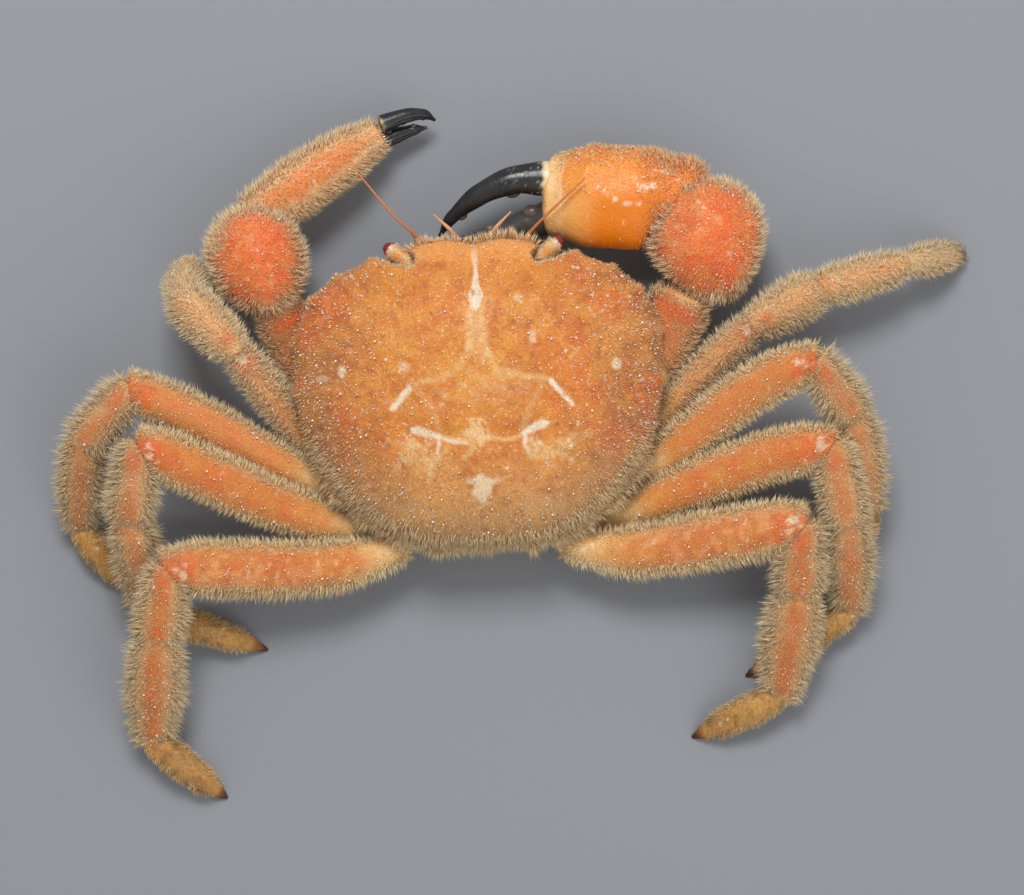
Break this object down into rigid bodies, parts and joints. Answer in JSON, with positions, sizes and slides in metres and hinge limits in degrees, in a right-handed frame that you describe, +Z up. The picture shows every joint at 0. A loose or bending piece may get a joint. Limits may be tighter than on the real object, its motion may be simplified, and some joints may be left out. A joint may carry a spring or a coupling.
{
  "type": "crab model",
  "caption": "Still life-size model of a hairy deep-water crab resting on its belly, with a domed orange carapace, folded bristly legs and unequal black-fingered claws.",
  "frame": {"origin": "middle of the flat under the folded tail, at floor level", "axes": "-Y towards the front of the crab, +X to its left, +Z up"},
  "size_m": [0.1264, 0.0935, 0.0208],
  "materials": {
    "shell_orange": "mottled, finely granular orange shell with a short brown-tan pile",
    "leg_orange": "orange-red pile between tan bristly margins",
    "claw_orange": "orange shell, smooth inside the larger hand, bristly elsewhere",
    "underside_cream": "smooth cream shell",
    "foot_yellow": "ochre with dark brown horny tip",
    "finger_black": "smooth glossy black",
    "eye_red": "glossy crimson cornea on a pale stalk",
    "feeler_pink": "satin orange-pink"
  },
  "bodies": {
    "root": {"carapace": "shell_orange", "underside": "underside_cream", "abdomen": "underside_cream", "mouthpart_left": "underside_cream", "mouthpart_right": "underside_cream", "eye_left": "eye_red", "eye_right": "eye_red", "antenna_left": "feeler_pink", "antenna_right": "feeler_pink", "antennule_left": "feeler_pink", "antennule_right": "feeler_pink", "claw_left_arm": "claw_orange", "claw_left_wrist": "claw_orange", "claw_left_hand": "claw_orange", "claw_right_arm": "claw_orange", "claw_right_wrist": "claw_orange", "claw_right_hand": "claw_orange", "claw_left_finger": "finger_black", "claw_right_finger": "finger_black", "leg2_left_merus": "leg_orange", "leg2_left_carpus": "leg_orange", "leg2_left_propodus": "leg_orange", "leg2_right_merus": "leg_orange", "leg2_right_carpus": "leg_orange", "leg2_right_propodus": "leg_orange", "leg3_left_merus": "leg_orange", "leg3_left_carpus": "leg_orange", "leg3_left_propodus": "leg_orange", "leg3_right_merus": "leg_orange", "leg3_right_carpus": "leg_orange", "leg3_right_propodus": "leg_orange", "leg4_left_merus": "leg_orange", "leg4_left_carpus": "leg_orange", "leg4_left_propodus": "leg_orange", "leg4_right_merus": "leg_orange", "leg4_right_carpus": "leg_orange", "leg4_right_propodus": "leg_orange", "leg5_left_merus": "leg_orange", "leg5_left_carpus": "leg_orange", "leg5_left_propodus": "leg_orange", "leg5_right_merus": "leg_orange", "leg5_right_carpus": "leg_orange", "leg5_right_propodus": "leg_orange", "leg2_left_dactylus": "foot_yellow", "leg2_right_dactylus": "foot_yellow", "leg3_left_dactylus": "foot_yellow", "leg3_right_dactylus": "foot_yellow", "leg4_left_dactylus": "foot_yellow", "leg4_right_dactylus": "foot_yellow", "leg5_left_dactylus": "foot_yellow", "leg5_right_dactylus": "foot_yellow"}
  },
  "joints": []
}
